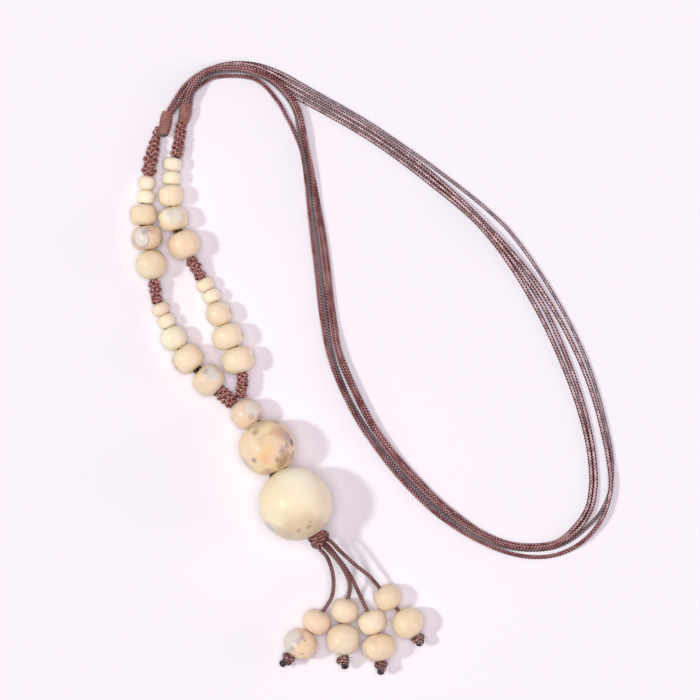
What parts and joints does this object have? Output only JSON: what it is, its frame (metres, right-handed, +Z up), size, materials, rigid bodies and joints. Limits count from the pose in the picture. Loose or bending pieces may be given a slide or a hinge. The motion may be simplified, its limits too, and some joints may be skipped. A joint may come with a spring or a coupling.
{
  "type": "woven necklace",
  "caption": "Necklace of thin waxed cords with knotted sleeves and round ceramic beads, ending in a drop of larger beads and a tassel of beaded cords, laid flat.",
  "frame": {"origin": "middle of the bounding box of the laid necklace, on the surface that it lies on", "axes": "+X to the right of the laid necklace, +Y towards the top of its loop, away from the tassel, +Z up out of the surface"},
  "size_m": [0.1613, 0.2044, 0.0243],
  "materials": {
    "waxed_cord": "thin braided cord with a light wax, mauve brown",
    "knotted_cord": "the same cord knotted in tight turns, redder brown",
    "bead_glaze": "glossy cream glaze with grey and orange patches",
    "small_bead_glaze": "glossy pale cream glaze"
  },
  "bodies": {
    "root": {"neck_cord_a": "waxed_cord", "neck_cord_b": "waxed_cord", "neck_cord_c": "waxed_cord", "neck_cord_d": "waxed_cord", "wrap_left": "knotted_cord", "wrap_right": "knotted_cord", "string_left": "knotted_cord", "string_right": "knotted_cord", "string_drop": "waxed_cord", "drop_knot": "knotted_cord", "bead_left_1": "small_bead_glaze", "bead_left_2": "small_bead_glaze", "bead_left_3": "bead_glaze", "bead_left_4": "bead_glaze", "bead_left_5": "bead_glaze", "bead_left_6": "small_bead_glaze", "bead_left_7": "small_bead_glaze", "bead_left_8": "bead_glaze", "bead_left_9": "bead_glaze", "bead_left_10": "bead_glaze", "bead_right_1": "small_bead_glaze", "bead_right_2": "small_bead_glaze", "bead_right_3": "bead_glaze", "bead_right_4": "bead_glaze", "bead_right_5": "bead_glaze", "bead_right_6": "small_bead_glaze", "bead_right_7": "small_bead_glaze", "bead_right_8": "bead_glaze", "bead_right_9": "bead_glaze", "bead_right_10": "bead_glaze", "bead_drop_small": "bead_glaze", "bead_drop_middle": "bead_glaze", "bead_drop_big": "bead_glaze", "tassel_cord_1": "waxed_cord", "tassel_cord_2": "waxed_cord", "tassel_cord_3": "waxed_cord", "tassel_cord_4": "waxed_cord", "tassel_bead_upper_1": "bead_glaze", "tassel_bead_upper_2": "bead_glaze", "tassel_bead_upper_3": "bead_glaze", "tassel_bead_upper_4": "bead_glaze", "tassel_bead_lower_1": "bead_glaze", "tassel_bead_lower_2": "bead_glaze", "tassel_bead_lower_3": "bead_glaze", "tassel_bead_lower_4": "bead_glaze", "tassel_knot_1": "knotted_cord", "tassel_knot_2": "knotted_cord", "tassel_knot_3": "knotted_cord", "tassel_knot_4": "knotted_cord"}
  },
  "joints": []
}
